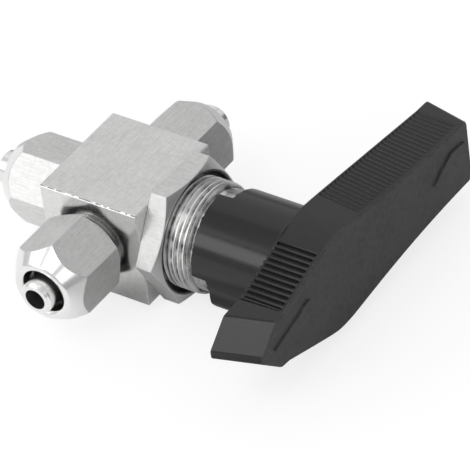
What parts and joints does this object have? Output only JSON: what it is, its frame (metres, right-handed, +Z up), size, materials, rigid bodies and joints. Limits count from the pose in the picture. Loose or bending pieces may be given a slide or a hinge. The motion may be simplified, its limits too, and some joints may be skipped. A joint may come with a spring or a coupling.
{
  "type": "three-way ball valve",
  "caption": "Small panel-mount ball valve with side ports and a rear port in a square block, hose cap nuts, a threaded neck with panel nut and a double-ended lever handle.",
  "frame": {"origin": "centre of the ball, where the side port axis, the rear port axis and the stem axis cross", "axes": "+X along the stem from the rear port towards the handle, +Y along the side ports from port A to port B, +Z up, square to both"},
  "size_m": [0.0694, 0.0695, 0.0232],
  "materials": {
    "block_steel": "ground and brushed, fine straight hairlines",
    "nut_steel": "turned and milled, satin",
    "fitting_steel": "fine turned",
    "stem_steel": "polished ball and stem",
    "gland_steel": "turned",
    "spring_steel": "hardened, dull",
    "ptfe": "waxy white",
    "o_ring_rubber": "smooth black rubber",
    "handle_plastic": "fine-grained moulded plastic, nearly black",
    "insert_brass": "turned",
    "screw_steel": "black oxide"
  },
  "bodies": {
    "valve_block": {"body": "block_steel", "seat_a": "ptfe", "seat_b": "ptfe", "seat_c": "ptfe", "thrust_washer": "ptfe", "packing_rings": "ptfe", "gland_follower": "gland_steel", "disc_springs": "spring_steel", "gland_nut": "gland_steel", "fitting_a": "fitting_steel", "fitting_b": "fitting_steel", "fitting_c": "fitting_steel", "o_ring_a": "o_ring_rubber", "o_ring_b": "o_ring_rubber", "o_ring_c": "o_ring_rubber"},
    "lever": {"handle": "handle_plastic", "handle_insert": "insert_brass", "handle_screw": "screw_steel", "ball_stem": "stem_steel"},
    "panel_nut": {"panel_nut": "nut_steel"},
    "cap_nut_a": {"cap_nut_a": "nut_steel"},
    "cap_nut_b": {"cap_nut_b": "nut_steel"},
    "cap_nut_c": {"cap_nut_c": "nut_steel"}
  },
  "joints": [
    {"name": "lever_turn", "type": "hinge", "parent": "valve_block", "child": "lever", "pos_m": [0, 0, 0], "axis": [1, 0, 0], "range_deg": [0, 180]},
    {"name": "panel_nut_turn", "type": "hinge", "parent": "valve_block", "child": "panel_nut", "pos_m": [0.0128, 0, 0], "axis": [1, 0, 0], "continuous": true},
    {"name": "cap_nut_a_turn", "type": "hinge", "parent": "valve_block", "child": "cap_nut_a", "pos_m": [0, -0.018, 0], "axis": [0, -1, 0], "continuous": true},
    {"name": "cap_nut_b_turn", "type": "hinge", "parent": "valve_block", "child": "cap_nut_b", "pos_m": [0, 0.018, 0], "axis": [0, 1, 0], "continuous": true},
    {"name": "cap_nut_c_turn", "type": "hinge", "parent": "valve_block", "child": "cap_nut_c", "pos_m": [-0.016, 0, 0], "axis": [-1, 0, 0], "continuous": true}
  ]
}
